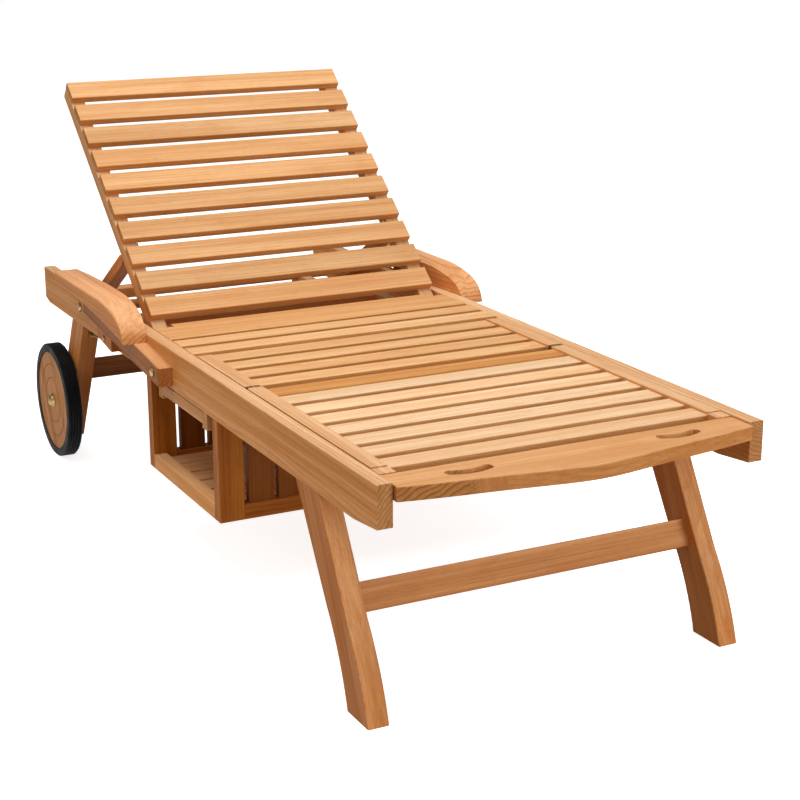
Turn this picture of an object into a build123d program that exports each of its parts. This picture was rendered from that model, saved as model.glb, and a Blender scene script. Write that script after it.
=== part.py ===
from build123d import *
from math import asin, atan2, cos, degrees, hypot, radians, sin
import os

# Teak sun lounger, in millimetres. X runs across it, Y from the foot end to the
# head end, Z up. Places along Y are first measured from the foot end of the side
# rails, and side_plane and level_plane move them to the middle of the object.

# Frame rails
half_width = 350
rail_length = 1716
rail_thickness = 26
rail_height = 77.5
rail_end_rise = 8
rail_foot_run = 80
rail_head_run = 30
head_rail_depth = 40
head_rail_height = 24
head_rail_setback = 32
rail_top = 408
edge_round = 2.5
fit_gap = 0.4
hole_clearance = 0.05
overrun = 5

# Slats and stiles that all panels share
slat_thickness = 15
slat_round = 2
stile_width = 28
panel_side_gap = 2

# Backrest
back_angle = 39.7
back_max_angle = 70
back_hinge_y = 1068
back_hinge_z = 375
back_face_height = 33
back_slats = 10
back_slat_width = 47
back_side_gap = 9
back_pitch = 66.3
back_first_slat = 38.9
back_stile_width = 30
back_stile_depth = 28
back_stile_end = 20
hinge_pin_radius = 5
hinge_pin_depth = 18

# Prop of the backrest and the rack that it stands on
prop_reach = 228
prop_thickness = 22
prop_width = 28
prop_bar_drop = 157.5
prop_rest_angle = 31.4
prop_flat_angle = 0.3
prop_pin_radius = 4
prop_plate = 3
rack_thickness = 26
rack_side_gap = 47
rack_bottom = 306
rack_front_top = 380
rack_step = 1290
rack_slope_run = 36
rack_angle_step = 0.5
rack_rail_y = 1234
rack_rail_width = 24
rack_rail_bottom = 345
rack_rail_top = 378
notch_count = 9
notch_pitch = 27
notch_width = 11
notch_depth = 9
notch_margin = 8
rack_shares = [0.16, 0.24, 0.32, 0.4, 0.48, 0.56, 0.64, 0.72, 0.8, 0.88, 0.96, 1]

# Seat between the rails
seat_rail_width = 42
seat_rail_back = 1045
seat_slat_width = 46.5
seat_slat_gap = 15
seat_slats = 2
seat_board_front = 946.5
seat_board_back = 1062
seat_notch_front = 1040
seat_notch_gap = 3
slat_sink = 4
ledge_width = 24
ledge_height = 22
ledge_foot = 70

# Thigh panel
panel_stile_depth = 40
panel_end_gap = 2
thigh_slats = 4
thigh_slat_width = 46
thigh_pitch = 63
thigh_first_slat = 579.5
thigh_max_angle = 30

# Leg panel
knee_y = 566
leg_slats = 7
leg_slat_width = 46
leg_pitch = 63.4
leg_first_slat = 75
knee_rail_width = 47
knee_rail_back = 560
knee_fold_angle = 22.5
foot_board_thickness = 24
foot_board_back = 49
foot_board_side = 8
foot_board_bow = 50
foot_board_bow_shares = [0, 0.3, 0.54, 0.82, 1, 0.82, 0.54, 0.3, 0]
stile_block_length = 28
stile_block_sink = 2
hand_hole_x = 190
hand_hole_y = 12
hand_hole_width = 62
hand_hole_bow = 7
hand_hole_opening = 20

# Knee hinges
knuckle_radius = 4
knuckle_bore = 2
leaf_thickness = 1.5
leaf_length = 22
leaf_width = 24
knuckle_gap = 0.4

# Front legs, which curve towards the foot
leg_thickness = 37
leg_foot_front = 36
leg_foot_back = 112
leg_knee_front = 108
leg_knee_back = 184
leg_knee_height = 150
leg_top_front = 211
leg_top_back = 297
leg_bend_share = 0.5
leg_bend_depth = 8
stretcher_height = 48
stretcher_thickness = 22
front_stretcher_y = 154
front_stretcher_z = 167

# Rear legs and wheels
rear_leg_setback = 246
rear_leg_width = 70
rear_leg_foot_z = 32
rear_leg_round = 8
wheel_setback = 130
wheel_radius = 128.5
tyre_thickness = 18.5
tyre_width = 32
disc_width = 28
wheel_gap = 4
tyre_grooves = 4
tyre_groove_width = 2.4
tyre_groove_depth = 2
tyre_bead_round = 3
disc_ring_radii = [82, 51]
disc_ring_width = 4
disc_ring_depth = 2.5
disc_edge_round = 3
axle_radius = 5
axle_head_radius = 10
axle_head_height = 5
axle_nut_radius = 9
axle_nut_height = 8
rear_stretcher_height = 46
rear_stretcher_z = 203

# Armrests with the bars that carry them
arm_width = 50
arm_overhang = 12
arm_rear = 1456
arm_top = 452
arm_rear_bottom = 421
arm_rear_round = 10
arm_front = 1006
arm_front_bottom = 391
arm_shoulder_y = 1090
arm_shoulder_z = 446
arm_nose_y = 1026
arm_nose_z = 424
arm_nose_lean = 0.25
arm_belly_y = 1200
arm_belly_z = 415
arm_bend_y = 1160
arm_edge_round = 4
arm_bar_thickness = 28
arm_bar_reach = 140
arm_bar_front_top = 375
arm_bar_front_height = 36
arm_bar_length = 464
arm_bar_rear_bottom = 386
arm_bar_round = 6
arm_block_front = 1149
arm_block_rear = 1240
arm_block_front_bottom = 341
arm_block_rear_bottom = 355

# Basket under the seat
basket_foot = 640
basket_head = 993
basket_bottom = 137
basket_panel_thickness = 26
basket_stile_width = 48
basket_rail_height = 29
basket_slat_width = 50
basket_slat_thickness = 14
basket_slat_gap = 9
basket_sill_thickness = 26
floor_slats = 6
floor_slat_gap = 7
floor_slat_thickness = 12
floor_slat_rise = 8

# Tray and its runners
tray_foot = 708
tray_head = 934
tray_top = 328
tray_thickness = 22
tray_rim_width = 26
tray_recess = 6
tray_length = 420
runner_thickness = 15
runner_foot = 8
runner_foot_height = 8
runner_gap = 0.4

# Brass fittings
bolt_head_radius = 6
bolt_head_height = 3
bolt_shank_radius = 3
screw_head_radius = 4
screw_head_height = 2
hook_inset = 17
hook_eye_setback = 284
hook_eye_z = 308
hook_eye_radius = 5
hook_pin_radius = 1.5
hook_width = 4
hook_ear = 2
hook_ear_gap = 0.3
hook_ear_height = 9
hook_length = 76
hook_tip_z = 317
hook_tip_height = 7.5
hook_tip_radius = 1.6
hook_ring_radius = 6
hook_ring_hole = 3
hook_ring_thickness = 2.5
hook_ring_rise = 3

# Derived places
back_slope = radians(back_angle)
head_end = rail_length
foot_end = -foot_board_side - foot_board_bow
middle_y = (head_end + foot_end) / 2
rail_bottom = rail_top - rail_height
rail_inner = half_width - rail_thickness
head_rail_back = rail_length - head_rail_setback
rack_outer = rail_inner - rack_side_gap
rear_leg_top_y = rail_length - rear_leg_setback
wheel_y = rail_length - wheel_setback
arm_bar_front = arm_front - arm_bar_reach
arm_bar_rear = arm_bar_front + arm_bar_length
hook_x = half_width - hook_inset
hook_eye_y = rail_length - hook_eye_setback
hook_tip_y = hook_eye_y - hook_length
panel_half = rail_inner - panel_side_gap
back_half = rail_inner - back_side_gap
slat_top = rail_top - slat_sink
seat_slat_back = seat_board_front - seat_slat_gap
seat_pitch = seat_slat_width + seat_slat_gap
fixed_front = seat_slat_back - seat_slats * seat_pitch + seat_slat_gap
thigh_hinge_y = fixed_front - panel_end_gap - panel_stile_depth / 2
thigh_hinge_z = rail_top - panel_stile_depth / 2
stile_bottom = rail_top - panel_stile_depth
prop_offset = back_stile_depth + slat_thickness - back_face_height + prop_thickness / 2 + fit_gap
prop_radius = hypot(prop_reach, prop_offset)
prop_lag = atan2(prop_offset, prop_reach)
prop_length = prop_bar_drop / sin(radians(prop_rest_angle))
prop_ratio = (prop_rest_angle - prop_flat_angle) / back_angle
strut_outer = back_half
strut_inner = back_half - prop_width


def side_plane(x):
    """A plane across X at x. Its first axis runs to the head end and its second up."""
    return Plane(origin=(x, -middle_y, 0), x_dir=(0, 1, 0), z_dir=(1, 0, 0))


def level_plane(z):
    """A level plane at height z. Its axes are X and Y."""
    return Plane(origin=(0, -middle_y, z), x_dir=(1, 0, 0), z_dir=(0, 0, 1))


def back_plane(x):
    """A plane across X whose first axis runs up the raised backrest from its hinge."""
    origin = (x, back_hinge_y - middle_y, back_hinge_z)
    up_the_back = (0, cos(back_slope), sin(back_slope))
    return Plane(origin=origin, x_dir=up_the_back, z_dir=(1, 0, 0))


def prop_pivot(angle):
    """The prop's pivot when the backrest stands at an angle, as (y, z)."""
    turned = radians(angle) - prop_lag
    return back_hinge_y + prop_radius * cos(turned), back_hinge_z + prop_radius * sin(turned)


def prop_slope(angle):
    """How far below level the prop points when the backrest stands at an angle."""
    return radians(prop_rest_angle + prop_ratio * (angle - back_angle))


def prop_bar(angle):
    """The middle of the prop's bar when the backrest stands at an angle, as (y, z)."""
    y, z = prop_pivot(angle)
    slope = prop_slope(angle)
    return y + prop_length * cos(slope), z - prop_length * sin(slope)


def finish(part, label):
    """Name a piece and write it."""
    part.label = label
    export_step(part, f"parts/{label}.step")
    print(label, len(part.solids()), round(part.volume))


os.makedirs("parts", exist_ok=True)
sides = {"left": -1, "right": 1}

# Side rails: straight boards from foot to head, with blind holes for the hinge pins
for name, side in sides.items():
    with BuildPart() as rail:
        with BuildSketch(side_plane(side * rail_inner)):
            with BuildLine():
                Polyline(
                    (0, rail_top),
                    (0, rail_bottom + rail_end_rise),
                    (rail_foot_run, rail_bottom),
                    (rail_length - rail_head_run, rail_bottom),
                    (rail_length, rail_bottom + rail_end_rise),
                    (rail_length, rail_top),
                    close=True,
                )
            make_face()
        extrude(amount=side * rail_thickness)
        fillet(rail.edges().filter_by(Axis.Y).group_by(Axis.Z)[-1], edge_round)
        with BuildSketch(side_plane(side * rail_inner)):
            with Locations((back_hinge_y, back_hinge_z), (thigh_hinge_y, thigh_hinge_z)):
                Circle(hinge_pin_radius)
        extrude(amount=side * hinge_pin_depth, mode=Mode.SUBTRACT)
    finish(rail.part, f"side_rail_{name}")

# Cross rails between the side rails: one under the seat board, one at the head end
seat_rail_height = rail_height - slat_thickness
with BuildPart() as seat_rail:
    with BuildSketch(side_plane(-rail_inner)):
        with Locations((seat_rail_back - seat_rail_width / 2, rail_bottom + seat_rail_height / 2)):
            Rectangle(seat_rail_width, seat_rail_height)
    extrude(amount=2 * rail_inner)
finish(seat_rail.part, "seat_rail")

with BuildPart() as head_rail:
    with BuildSketch(side_plane(-rail_inner)):
        with Locations((head_rail_back - head_rail_depth / 2, rail_bottom + head_rail_height / 2)):
            Rectangle(head_rail_depth, head_rail_height)
    extrude(amount=2 * rail_inner)
    fillet(head_rail.edges().filter_by(Axis.X), edge_round)
finish(head_rail.part, "head_rail")

# Seat board on the seat rail, notched round the backrest's stiles
seat_notch_half = back_half - back_stile_width - seat_notch_gap
with BuildPart() as seat_board:
    with BuildSketch(level_plane(rail_top - slat_thickness)):
        with Locations((0, (seat_board_front + seat_notch_front) / 2)):
            Rectangle(2 * rail_inner, seat_notch_front - seat_board_front)
        with Locations((0, (seat_notch_front + seat_board_back) / 2)):
            Rectangle(2 * seat_notch_half, seat_board_back - seat_notch_front)
    extrude(amount=slat_thickness)
    fillet(seat_board.faces().sort_by(Axis.Z)[-1].edges().filter_by(Axis.X), slat_round)
finish(seat_board.part, "seat_board")

# Fixed seat slats in front of the seat board
for number in range(seat_slats):
    back = seat_slat_back - number * seat_pitch
    with BuildPart() as seat_slat:
        with BuildSketch(side_plane(-rail_inner)) as section:
            with Locations((back - seat_slat_width / 2, rail_top - slat_thickness / 2)):
                Rectangle(seat_slat_width, slat_thickness)
            fillet(section.vertices().group_by(Axis.Y)[-1], slat_round)
        extrude(amount=2 * rail_inner)
    finish(seat_slat.part, f"seat_slat_{number + 1}")

# Ledges inside the rails: long ones carry the folding panels, taller ones the seat slats
ledge_top = stile_bottom - fit_gap
seat_ledge_front = fixed_front + fit_gap
seat_ledge_back = seat_rail_back - seat_rail_width
seat_ledge_height = rail_top - slat_thickness - ledge_top + ledge_height
with BuildPart() as ledges:
    for side in sides.values():
        with BuildSketch(side_plane(side * (rail_inner - ledge_width))):
            with Locations(((ledge_foot + fixed_front) / 2, ledge_top - ledge_height / 2)):
                Rectangle(fixed_front - ledge_foot, ledge_height)
            middle = (seat_ledge_front + seat_ledge_back) / 2
            with Locations((middle, rail_top - slat_thickness - seat_ledge_height / 2)):
                Rectangle(seat_ledge_back - seat_ledge_front, seat_ledge_height)
        extrude(amount=side * ledge_width)
finish(ledges.part, "ledges")

# Front legs: flush with the rails' outer faces, curving down towards the foot
leg_inner = half_width - leg_thickness


def leg_bend(foot_y, knee_y_place):
    """The middle of a leg's lower curve, pulled towards the foot end of its chord."""
    middle = foot_y + (knee_y_place - foot_y) * leg_bend_share
    return middle - leg_bend_depth, leg_knee_height * leg_bend_share


with BuildPart() as front_legs:
    for side in sides.values():
        with BuildSketch(side_plane(side * leg_inner)):
            with BuildLine():
                ThreePointArc(
                    (leg_foot_front, 0),
                    leg_bend(leg_foot_front, leg_knee_front),
                    (leg_knee_front, leg_knee_height),
                )
                Line((leg_knee_front, leg_knee_height), (leg_top_front, rail_bottom))
                Line((leg_top_front, rail_bottom), (leg_top_back, rail_bottom))
                Line((leg_top_back, rail_bottom), (leg_knee_back, leg_knee_height))
                ThreePointArc(
                    (leg_knee_back, leg_knee_height),
                    leg_bend(leg_foot_back, leg_knee_back),
                    (leg_foot_back, 0),
                )
                Line((leg_foot_back, 0), (leg_foot_front, 0))
            make_face()
        extrude(amount=side * leg_thickness)
    corners = front_legs.edges().filter_by(Axis.X, reverse=True).filter_by(Axis.Y, reverse=True)
    fillet(corners, edge_round)
finish(front_legs.part, "front_legs")

front_lean = degrees(atan2(leg_top_front - leg_knee_front, rail_bottom - leg_knee_height))
with BuildPart() as front_stretcher:
    with BuildSketch(side_plane(-leg_inner)) as section:
        with Locations((front_stretcher_y, front_stretcher_z)):
            Rectangle(stretcher_thickness, stretcher_height, rotation=-front_lean)
        fillet(section.vertices(), edge_round)
    extrude(amount=2 * leg_inner)
finish(front_stretcher.part, "front_stretcher")

# Rear legs: straight boards that lean towards the head end and carry the wheels
rear_lean = atan2(wheel_y - rear_leg_top_y, rail_bottom - wheel_radius)
rear_half = rear_leg_width / 2 / cos(rear_lean)
rear_foot_y = rear_leg_top_y + (rail_bottom - rear_leg_foot_z) * sin(rear_lean) / cos(rear_lean)
with BuildPart() as rear_legs:
    for side in sides.values():
        with BuildSketch(side_plane(side * leg_inner)) as outline:
            with BuildLine():
                Polyline(
                    (rear_leg_top_y - rear_half, rail_bottom),
                    (rear_leg_top_y + rear_half, rail_bottom),
                    (rear_foot_y + rear_half, rear_leg_foot_z),
                    (rear_foot_y - rear_half, rear_leg_foot_z),
                    close=True,
                )
            make_face()
            fillet(outline.vertices().group_by(Axis.Y)[0], rear_leg_round)
            with Locations((wheel_y, wheel_radius)):
                Circle(axle_radius + hole_clearance, mode=Mode.SUBTRACT)
        extrude(amount=side * leg_thickness)
finish(rear_legs.part, "rear_legs")

rear_stretcher_y = rear_leg_top_y + (rail_bottom - rear_stretcher_z) * sin(rear_lean) / cos(rear_lean)
with BuildPart() as rear_stretcher:
    with BuildSketch(side_plane(-leg_inner)) as section:
        with Locations((rear_stretcher_y, rear_stretcher_z)):
            Rectangle(stretcher_thickness, rear_stretcher_height, rotation=degrees(rear_lean))
        fillet(section.vertices(), edge_round)
    extrude(amount=2 * leg_inner)
finish(rear_stretcher.part, "rear_stretcher")

# Wheels: turned wooden discs with two ring grooves, in ribbed rubber tyres
wheel_inner = half_width + wheel_gap
disc_radius = wheel_radius - tyre_thickness
disc_inner = wheel_inner + (tyre_width - disc_width) / 2
disc_outer = disc_inner + disc_width
tyre_outer = wheel_inner + tyre_width


def wheel_plane(side):
    """A plane through the axle. Its first axis points outward along the axle, its second up."""
    origin = (0, wheel_y - middle_y, wheel_radius)
    return Plane(origin=origin, x_dir=(side, 0, 0), z_dir=(0, -side, 0))


for name, side in sides.items():
    axle_line = Axis((0, wheel_y - middle_y, wheel_radius), (1, 0, 0))
    with BuildPart() as wheel:
        with BuildSketch(wheel_plane(side)) as section:
            with Locations((disc_inner + disc_width / 2, (disc_radius + axle_radius + hole_clearance) / 2)):
                Rectangle(disc_width, disc_radius - axle_radius - hole_clearance)
            with Locations(*[(disc_outer, ring) for ring in disc_ring_radii]):
                RegularPolygon(disc_ring_width / 2, 4, mode=Mode.SUBTRACT)
        revolve(axis=axle_line)
    finish(wheel.part, f"wheel_{name}")

    with BuildPart() as tyre:
        with BuildSketch(wheel_plane(side)) as section:
            with Locations((wheel_inner + tyre_width / 2, disc_radius + tyre_thickness / 2)):
                Rectangle(tyre_width, tyre_thickness)
            chamfer(section.vertices().group_by(Axis.Y)[-1], tyre_bead_round)
            groove_pitch = tyre_width / (tyre_grooves + 1)
            places = [
                (wheel_inner + groove_pitch * (count + 1), wheel_radius - tyre_groove_depth / 2)
                for count in range(tyre_grooves)
            ]
            with Locations(*places):
                Rectangle(tyre_groove_width, tyre_groove_depth, mode=Mode.SUBTRACT)
        revolve(axis=axle_line)
    finish(tyre.part, f"tyre_{name}")

# Axle bolts with a domed cap outside and a nut inside
with BuildPart() as axle_bolts:
    for side in sides.values():
        shank_start = leg_inner - axle_nut_height
        with BuildSketch(side_plane(side * shank_start)):
            with Locations((wheel_y, wheel_radius)):
                Circle(axle_radius)
        extrude(amount=side * (disc_outer + fit_gap - shank_start))
        with BuildSketch(side_plane(side * (disc_outer + fit_gap))):
            with Locations((wheel_y, wheel_radius)):
                Circle(axle_head_radius)
        extrude(amount=side * axle_head_height)
        with BuildSketch(side_plane(side * shank_start)):
            with Locations((wheel_y, wheel_radius)):
                RegularPolygon(axle_nut_radius, 6)
        extrude(amount=side * axle_nut_height)
finish(axle_bolts.part, "axle_bolts")

# Armrests: long at the rear, rounded down at the front onto the bars
def arm_underside():
    """Draw the curved underside of an armrest, from its front to its rear."""
    ThreePointArc((arm_front, arm_front_bottom), (arm_belly_y, arm_belly_z), (arm_rear, arm_rear_bottom))


with BuildPart() as armrests:
    for side in sides.values():
        with BuildSketch(side_plane(side * (half_width - arm_overhang))) as outline:
            with BuildLine():
                Line((arm_rear, arm_rear_bottom), (arm_rear, arm_top))
                Line((arm_rear, arm_top), (arm_bend_y, arm_top))
                Spline(
                    (arm_bend_y, arm_top),
                    (arm_shoulder_y, arm_shoulder_z),
                    (arm_nose_y, arm_nose_z),
                    (arm_front, arm_front_bottom),
                    tangents=((-1, 0), (-arm_nose_lean, -1)),
                )
                arm_underside()
            make_face()
            fillet(outline.vertices().group_by(Axis.X)[-1].sort_by(Axis.Y)[0], arm_rear_round)
        extrude(amount=side * (arm_width + arm_overhang))
        inner = side * (half_width - arm_overhang - overrun)
        face = side * (half_width + fit_gap)
        bow = side * (half_width - arm_overhang)
        with BuildSketch(level_plane(arm_front_bottom - overrun)):
            with BuildLine():
                ThreePointArc((face, arm_front), (bow, arm_belly_y), (face, arm_rear))
                Polyline((face, arm_rear), (inner, arm_rear), (inner, arm_front), (face, arm_front))
            make_face()
        extrude(amount=arm_top - arm_front_bottom + 2 * overrun, mode=Mode.SUBTRACT)
        with BuildSketch(side_plane(inner)):
            with Locations(((arm_front + arm_rear) / 2, rail_top + fit_gap - rail_height / 2)):
                Rectangle(arm_rear - arm_front + overrun, rail_height)
        extrude(amount=face - inner, mode=Mode.SUBTRACT)
    outer_faces = armrests.faces().filter_by(Axis.X).group_by(Axis.X)
    fillet(outer_faces[0].edges() + outer_faces[-1].edges(), arm_edge_round)
finish(armrests.part, "armrests")

# Bars outside the rails, which rise to the rear and carry the armrests
bar_front_bottom = arm_bar_front_top - arm_bar_front_height
bar_slope = (arm_bar_rear_bottom - bar_front_bottom) / (arm_bar_rear - arm_bar_front)


def bar_bottom(y):
    """The height of a bar's lower edge."""
    return bar_front_bottom + bar_slope * (y - arm_bar_front)


with BuildPart() as arm_bars:
    for side in sides.values():
        with BuildSketch(side_plane(side * half_width)):
            with BuildLine():
                Polyline(
                    (arm_bar_front, arm_bar_front_top),
                    (arm_bar_front, bar_front_bottom),
                    (arm_bar_rear, arm_bar_rear_bottom),
                    (arm_bar_rear, arm_top),
                    (arm_front, arm_top),
                    (arm_front, arm_front_bottom),
                    close=True,
                )
            make_face()
            with BuildLine():
                arm_underside()
                Polyline(
                    (arm_rear, arm_rear_bottom),
                    (arm_rear, arm_top + overrun),
                    (arm_front, arm_top + overrun),
                    (arm_front, arm_front_bottom),
                )
            make_face(mode=Mode.SUBTRACT)
        extrude(amount=side * arm_bar_thickness)
    front_edges = arm_bars.edges().group_by(Axis.Y)[0]
    outer_edges = front_edges.filter_by(Axis.Z).group_by(Axis.X)
    fillet(outer_edges[0] + outer_edges[-1], arm_bar_round)
finish(arm_bars.part, "arm_bars")

# Blocks under the bars, screwed to the rails
with BuildPart() as arm_blocks:
    for side in sides.values():
        with BuildSketch(side_plane(side * half_width)):
            with BuildLine():
                Polyline(
                    (arm_block_front, arm_block_front_bottom),
                    (arm_block_rear, arm_block_rear_bottom),
                    (arm_block_rear, bar_bottom(arm_block_rear)),
                    (arm_block_front, bar_bottom(arm_block_front)),
                    close=True,
                )
            make_face()
        extrude(amount=side * arm_bar_thickness)
finish(arm_blocks.part, "arm_blocks")

# Racks for the prop: boards between the cross rails, notched along a rising top
bar_seat = prop_thickness / 2 + fit_gap
rack_end = head_rail_back - head_rail_depth


def rack_point(angle):
    """The place on the rack's top that the prop's bar passes at an angle of the backrest."""
    y, z = prop_bar(angle)
    ahead_y, ahead_z = prop_bar(angle + rack_angle_step)
    slope = atan2(ahead_z - z, y - ahead_y)
    return y - bar_seat * sin(slope), z - bar_seat * cos(slope)


rack_line = [rack_point(back_max_angle * share) for share in rack_shares]


def rack_top(y):
    """The height of the rack's top at a place, just under the path of the prop's bar."""
    for (far_y, far_z), (near_y, near_z) in zip(rack_line, rack_line[1:]):
        if y >= near_y:
            break
    return near_z + (far_z - near_z) * (y - near_y) / (far_y - near_y)


with BuildPart() as racks:
    for side in sides.values():
        with BuildSketch(side_plane(side * (rack_outer - rack_thickness))):
            with BuildLine():
                Polyline(
                    (seat_rail_back, rack_bottom),
                    (head_rail_back, rack_bottom),
                    (head_rail_back, rail_bottom),
                    (rack_end, rail_bottom),
                    (rack_end, rack_line[0][1]),
                    *rack_line,
                    (rack_step + rack_slope_run, rack_line[-1][1]),
                    (rack_step, rack_front_top),
                    (seat_rail_back, rack_front_top),
                    close=True,
                )
            make_face()
            first_notch = rack_line[0][0] - notch_margin
            notches = [first_notch - count * notch_pitch for count in range(notch_count)]
            with Locations(*[(y, rack_top(y)) for y in notches]):
                Rectangle(notch_width, 2 * notch_depth, mode=Mode.SUBTRACT)
        extrude(amount=side * rack_thickness)
finish(racks.part, "racks")

# Cross rail between the racks, in front of the prop's bar
with BuildPart() as rack_rail:
    with BuildSketch(side_plane(rack_thickness - rack_outer)):
        with Locations((rack_rail_y, (rack_rail_bottom + rack_rail_top) / 2)):
            Rectangle(rack_rail_width, rack_rail_top - rack_rail_bottom)
    extrude(amount=2 * (rack_outer - rack_thickness))
finish(rack_rail.part, "rack_rail")

# Backrest: ten slats laid on two stiles
stile_top = back_first_slat + (back_slats - 1) * back_pitch + back_slat_width
stile_face = back_face_height - slat_thickness
with BuildPart() as back_stiles:
    for side in sides.values():
        with BuildSketch(back_plane(side * back_half)) as outline:
            with Locations((stile_top / 2, stile_face - back_stile_depth / 2)):
                Rectangle(stile_top, back_stile_depth)
            Circle(back_stile_end)
            with Locations((-back_stile_end, stile_face + back_stile_end)):
                Rectangle(4 * back_stile_end, 2 * back_stile_end, mode=Mode.SUBTRACT)
            Circle(hinge_pin_radius + hole_clearance, mode=Mode.SUBTRACT)
        extrude(amount=-side * back_stile_width)
finish(back_stiles.part, "back_stiles")

for number in range(back_slats):
    start = back_first_slat + number * back_pitch
    with BuildPart() as back_slat:
        with BuildSketch(back_plane(-back_half)) as section:
            with Locations((start + back_slat_width / 2, back_face_height - slat_thickness / 2)):
                Rectangle(back_slat_width, slat_thickness)
        extrude(amount=2 * back_half)
        face_plane = back_plane(0)
        face_edges = back_slat.edges().filter_by(Axis.X)
        face_edges = [e for e in face_edges if face_plane.to_local_coords(e @ 0).Y > back_face_height - slat_round]
        fillet(face_edges, slat_round)
    finish(back_slat.part, f"back_slat_{number + 1}")

# Prop: two struts under the stiles and a bar between their lower ends
rest_slope = prop_slope(back_angle)
pivot_y, pivot_z = prop_pivot(back_angle)


def strut_plane(x):
    """A plane across X whose first axis runs down the prop from its pivot."""
    origin = (x, pivot_y - middle_y, pivot_z)
    return Plane(origin=origin, x_dir=(0, cos(rest_slope), -sin(rest_slope)), z_dir=(1, 0, 0))


with BuildPart() as prop_legs:
    for side in sides.values():
        with BuildSketch(strut_plane(side * strut_outer)):
            with Locations((prop_length / 2, 0)):
                SlotCenterToCenter(prop_length, prop_thickness)
        extrude(amount=-side * prop_width)
        with BuildSketch(strut_plane(side * strut_inner)):
            Circle(prop_pin_radius + hole_clearance)
        extrude(amount=side * (prop_width - prop_plate), mode=Mode.SUBTRACT)
finish(prop_legs.part, "prop_legs")

with BuildPart() as prop_rod:
    with BuildSketch(strut_plane(-strut_inner)):
        with Locations((prop_length, 0)):
            Circle(prop_thickness / 2)
    extrude(amount=2 * strut_inner)
finish(prop_rod.part, "prop_bar")

# Brass plates on the stiles that hold the prop's pins
plate_half = prop_thickness / 2
plate_top = stile_face - slat_round
with BuildPart() as prop_plates:
    for side in sides.values():
        stile_inner = back_half - back_stile_width
        with BuildSketch(back_plane(side * stile_inner)) as plate:
            with Locations((prop_reach, (plate_top - prop_offset) / 2)):
                Rectangle(2 * plate_half, plate_top + prop_offset)
            with Locations((prop_reach, -prop_offset)):
                Circle(plate_half)
        extrude(amount=-side * prop_plate)
        with BuildSketch(back_plane(side * (stile_inner - prop_plate))):
            with Locations((prop_reach, -prop_offset)):
                Circle(prop_pin_radius)
        extrude(amount=side * (back_stile_width - prop_plate))
finish(prop_plates.part, "prop_plates")

# Thigh panel: stiles pinned to the rails at the back, four slats between them
thigh_stile_inner = panel_half - stile_width
knuckle_z = rail_top - knuckle_radius
fold_set_back = (knuckle_z - stile_bottom) * sin(radians(knee_fold_angle)) / cos(radians(knee_fold_angle))
knee_clear = knuckle_radius + knuckle_gap
knee_slant = radians(knee_fold_angle)


def leaf_outline(toward):
    """The corners of a hinge leaf let into the slanted end of a stile, as (y, z)."""
    face_y = knee_y + toward * knee_clear
    foot_y = face_y + toward * leaf_length * sin(knee_slant)
    foot_z = knuckle_z - leaf_length * cos(knee_slant)
    step_y = toward * leaf_thickness * cos(knee_slant)
    step_z = leaf_thickness * sin(knee_slant)
    return [
        (face_y, rail_top),
        (face_y, knuckle_z),
        (foot_y, foot_z),
        (foot_y + step_y, foot_z + step_z),
        (face_y + step_y, knuckle_z + step_z),
        (face_y + step_y, rail_top),
    ]


with BuildPart() as thigh_stiles:
    for side in sides.values():
        with BuildSketch(side_plane(side * panel_half)) as outline:
            with BuildLine():
                Polyline(
                    (knee_y + knee_clear, rail_top),
                    (thigh_hinge_y, rail_top),
                    (thigh_hinge_y, stile_bottom),
                    (knee_y + knee_clear + fold_set_back, stile_bottom),
                    (knee_y + knee_clear, knuckle_z),
                    close=True,
                )
            make_face()
            with Locations((thigh_hinge_y, thigh_hinge_z)):
                Circle(panel_stile_depth / 2)
                Circle(hinge_pin_radius + hole_clearance, mode=Mode.SUBTRACT)
            with BuildLine():
                Polyline(*leaf_outline(1), close=True)
            make_face(mode=Mode.SUBTRACT)
        extrude(amount=-side * stile_width)
finish(thigh_stiles.part, "thigh_stiles")

for number in range(thigh_slats):
    with BuildPart() as thigh_slat:
        with BuildSketch(side_plane(-thigh_stile_inner)) as section:
            start = thigh_first_slat + number * thigh_pitch
            with Locations((start + thigh_slat_width / 2, slat_top - slat_thickness / 2)):
                Rectangle(thigh_slat_width, slat_thickness)
            fillet(section.vertices().group_by(Axis.Y)[-1], slat_round)
        extrude(amount=2 * thigh_stile_inner)
    finish(thigh_slat.part, f"thigh_slat_{number + 1}")

# Leg panel: stiles with end blocks, seven slats, a knee rail and the foot board
stile_foot = foot_board_back + stile_block_length
block_top = rail_top - stile_block_sink
with BuildPart() as leg_stiles:
    for side in sides.values():
        with BuildSketch(side_plane(side * panel_half)) as outline:
            with BuildLine():
                Polyline(
                    (knee_y - knee_clear, rail_top),
                    (stile_foot, rail_top),
                    (stile_foot, stile_bottom),
                    (knee_y - knee_clear - fold_set_back, stile_bottom),
                    (knee_y - knee_clear, knuckle_z),
                    close=True,
                )
            make_face()
            with BuildLine():
                Polyline(*leaf_outline(-1), close=True)
            make_face(mode=Mode.SUBTRACT)
        extrude(amount=-side * stile_width)
        with BuildSketch(side_plane(side * panel_half)):
            with Locations((foot_board_back + stile_block_length / 2, (block_top + stile_bottom) / 2)):
                Rectangle(stile_block_length, block_top - stile_bottom)
        extrude(amount=-side * stile_width)
finish(leg_stiles.part, "leg_stiles")

for number in range(leg_slats):
    with BuildPart() as leg_slat:
        with BuildSketch(side_plane(-thigh_stile_inner)) as section:
            start = leg_first_slat + number * leg_pitch
            with Locations((start + leg_slat_width / 2, slat_top - slat_thickness / 2)):
                Rectangle(leg_slat_width, slat_thickness)
            fillet(section.vertices().group_by(Axis.Y)[-1], slat_round)
        extrude(amount=2 * thigh_stile_inner)
    finish(leg_slat.part, f"leg_slat_{number + 1}")

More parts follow.
